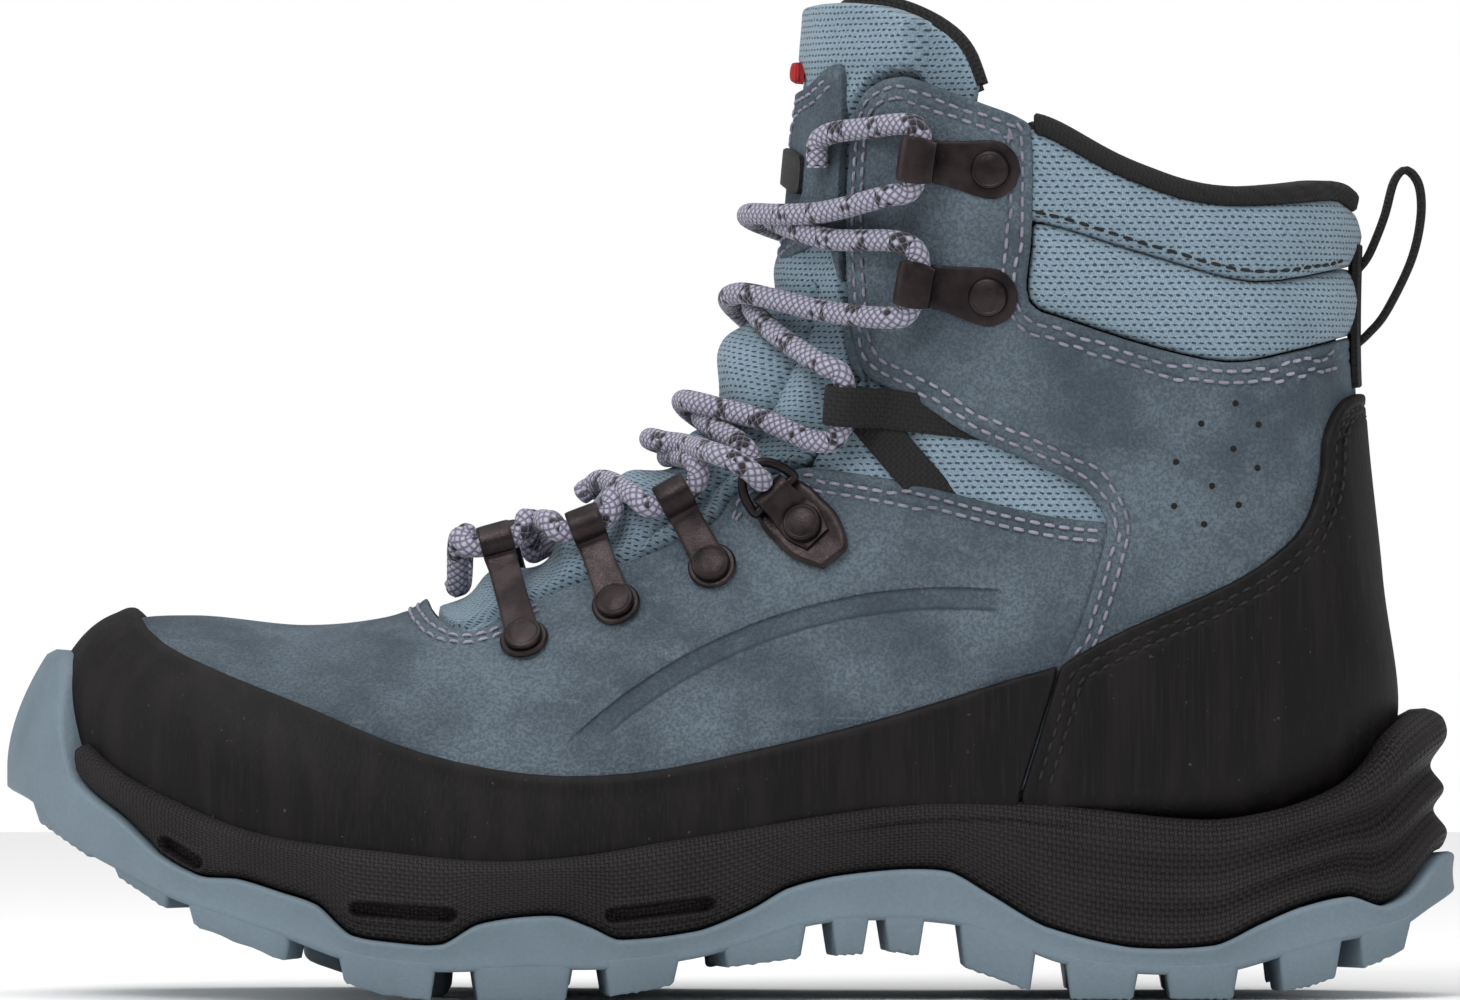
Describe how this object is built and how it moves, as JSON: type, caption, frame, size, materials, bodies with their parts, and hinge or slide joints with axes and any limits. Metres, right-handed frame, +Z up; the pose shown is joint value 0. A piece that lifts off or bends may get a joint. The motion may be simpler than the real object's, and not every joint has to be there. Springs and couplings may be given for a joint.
{
  "type": "hiking boot",
  "caption": "Laced mid-height hiking boot with a lugged sole, rubber rand, nubuck upper, padded knit collar and metal lace hardware.",
  "frame": {"origin": "middle of the footprint at the ground, below the sole", "axes": "+X from toe to heel, +Z up, -Y towards the outer side of the foot"},
  "size_m": [0.2917, 0.1102, 0.1991],
  "materials": {
    "sole_rubber": "matte moulded",
    "midsole_foam": "woven-dot texture",
    "shank_plastic": "moulded",
    "nubuck": "nubuck",
    "rand_rubber": "satin",
    "board": "fibre board",
    "knit": "air mesh",
    "lining_textile": "brushed textile",
    "webbing": "woven",
    "badge_rubber": "moulded",
    "tag_textile": "woven",
    "lace_textile": "braided",
    "bronze_metal": "dark bronze lacquer"
  },
  "bodies": {
    "boot": {"outsole": "sole_rubber", "midsole": "midsole_foam", "shank": "shank_plastic", "vamp": "nubuck", "quarter_lateral": "nubuck", "quarter_medial": "nubuck", "toe_rand": "rand_rubber", "heel_counter_cover": "rand_rubber", "lasting_board": "board", "toe_puff": "board", "heel_stiffener": "board", "flex_mesh_lateral": "knit", "flex_mesh_medial": "knit", "lining": "lining_textile", "insole": "lining_textile", "collar_upper_pad": "knit", "collar_lower_pad": "knit", "collar_binding": "webbing", "back_strip": "webbing", "tongue": "knit", "tongue_patch": "nubuck", "tongue_badge": "badge_rubber", "tongue_tag": "tag_textile", "lace": "lace_textile", "heel_pull_loop": "webbing", "lace_loop_lateral_1": "bronze_metal", "lace_loop_lateral_2": "bronze_metal", "lace_loop_lateral_3": "bronze_metal", "rivet_lateral_1": "bronze_metal", "rivet_lateral_2": "bronze_metal", "rivet_lateral_3": "bronze_metal", "rivet_lateral_4": "bronze_metal", "rivet_lateral_5": "bronze_metal", "rivet_lateral_6": "bronze_metal", "ring_plate_lateral": "bronze_metal", "webbing_loop_lateral": "webbing", "hook_lateral_1": "bronze_metal", "hook_lateral_2": "bronze_metal", "lace_loop_medial_1": "bronze_metal", "lace_loop_medial_2": "bronze_metal", "lace_loop_medial_3": "bronze_metal", "rivet_medial_1": "bronze_metal", "rivet_medial_2": "bronze_metal", "rivet_medial_3": "bronze_metal", "rivet_medial_4": "bronze_metal", "rivet_medial_5": "bronze_metal", "rivet_medial_6": "bronze_metal", "ring_plate_medial": "bronze_metal", "webbing_loop_medial": "webbing", "hook_medial_1": "bronze_metal", "hook_medial_2": "bronze_metal"},
    "ring_lateral": {"d_ring_lateral": "bronze_metal"},
    "ring_medial": {"d_ring_medial": "bronze_metal"}
  },
  "joints": [
    {"name": "ring_lateral_tilt", "type": "hinge", "parent": "boot", "child": "ring_lateral", "pos_m": [0.00897, -0.02714, 0.10049], "axis": [0.7221, 0.0445, 0.6903], "range_deg": [0, 35], "deforming": ["lace"]},
    {"name": "ring_medial_tilt", "type": "hinge", "parent": "boot", "child": "ring_medial", "pos_m": [0.00894, 0.02498, 0.10046], "axis": [-0.7184, 0.0327, -0.6949], "range_deg": [0, 35], "deforming": ["lace"]}
  ]
}
